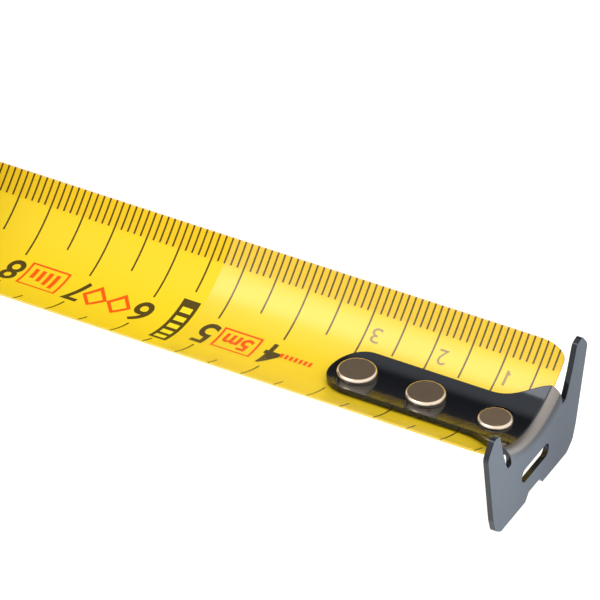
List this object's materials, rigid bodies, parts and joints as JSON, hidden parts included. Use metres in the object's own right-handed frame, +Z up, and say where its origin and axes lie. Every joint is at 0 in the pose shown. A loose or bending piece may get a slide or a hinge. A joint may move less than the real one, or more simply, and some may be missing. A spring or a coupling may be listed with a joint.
{
  "type": "tape measure",
  "caption": "Pocket tape measure with a drawn-out curved yellow blade, riveted end hook, thumb lock, belt clip and a sprung reel in a two-part case.",
  "frame": {"origin": "on the flat base of the case, straight under the reel's axis", "axes": "+X along the blade towards its hook, +Z up, Y across the blade with the belt clip on the -Y side"},
  "size_m": [0.177, 0.0473, 0.0728],
  "materials": {
    "case_plastic": "fine spark-eroded moulding texture, satin",
    "grip_rubber": "matt ribbed rubber",
    "badge_plastic": "plain satin yellow disc",
    "screw_steel": "zinc plated",
    "inner_plastic": "grey moulded plastic",
    "spring_steel": "blued spring strip",
    "blade_yellow": "gloss yellow lacquer, printed scale",
    "clear_film": "clear nylon film",
    "hook_black": "black oxide, satin gloss",
    "rivet_nickel": "nickel plated, slightly warm",
    "lock_plastic": "smooth yellow plastic",
    "clip_steel": "satin spring steel"
  },
  "bodies": {
    "case": {"case_left": "case_plastic", "case_right": "case_plastic", "rubber_grip": "grip_rubber", "mouth_bumper": "grip_rubber", "side_badge": "badge_plastic", "case_screws": "screw_steel", "post_screw": "screw_steel", "center_post": "inner_plastic", "blade_guide": "inner_plastic", "brake_pin": "screw_steel", "belt_clip_foot": "clip_steel", "clip_screw": "screw_steel", "clip_plate": "screw_steel"},
    "reel": {"spring_drum": "inner_plastic", "drum_cover": "inner_plastic", "mainspring": "spring_steel", "blade_coil": "blade_yellow", "blade_anchor": "spring_steel"},
    "tape": {"blade": "blade_yellow", "blade_end_film": "clear_film"},
    "hook": {"end_hook": "hook_black", "hook_rivets": "rivet_nickel", "hook_rivet_front": "rivet_nickel", "rivet_washers": "rivet_nickel"},
    "lock": {"lock_slider": "lock_plastic", "thumb_pad": "grip_rubber"},
    "brake": {"brake_lever": "inner_plastic", "brake_pad": "grip_rubber"},
    "clip": {"belt_clip_arm": "clip_steel"}
  },
  "joints": [
    {"name": "reel_spin", "type": "hinge", "parent": "case", "child": "reel", "pos_m": [0, 0, 0.042], "axis": [0, -1, 0], "range_deg": [-102, 34]},
    {"name": "blade_slide", "type": "slide", "parent": "case", "child": "tape", "axis": [1, 0, 0], "range_m": [-0.0452, 0.0152]},
    {"name": "hook_float", "type": "slide", "parent": "tape", "child": "hook", "axis": [1, 0, 0], "range_m": [0, 0.0008]},
    {"name": "lock_slide", "type": "slide", "parent": "case", "child": "lock", "axis": [0, 0, -1], "range_m": [0, 0.006]},
    {"name": "brake_pivot", "type": "hinge", "parent": "case", "child": "brake", "pos_m": [0.033, 0, 0.024], "axis": [0, -1, 0], "range_deg": [0, 8.8]},
    {"name": "clip_flex", "type": "hinge", "parent": "case", "child": "clip", "pos_m": [0, -0.0207, 0.0498], "axis": [-1, 0, 0], "range_deg": [0, 4]}
  ],
  "couplings": [
    {"joint": "blade_slide", "follows": "reel_spin", "m_per_rad": 0.0253},
    {"joint": "brake_pivot", "follows": "lock_slide", "rad_per_m": 25}
  ]
}
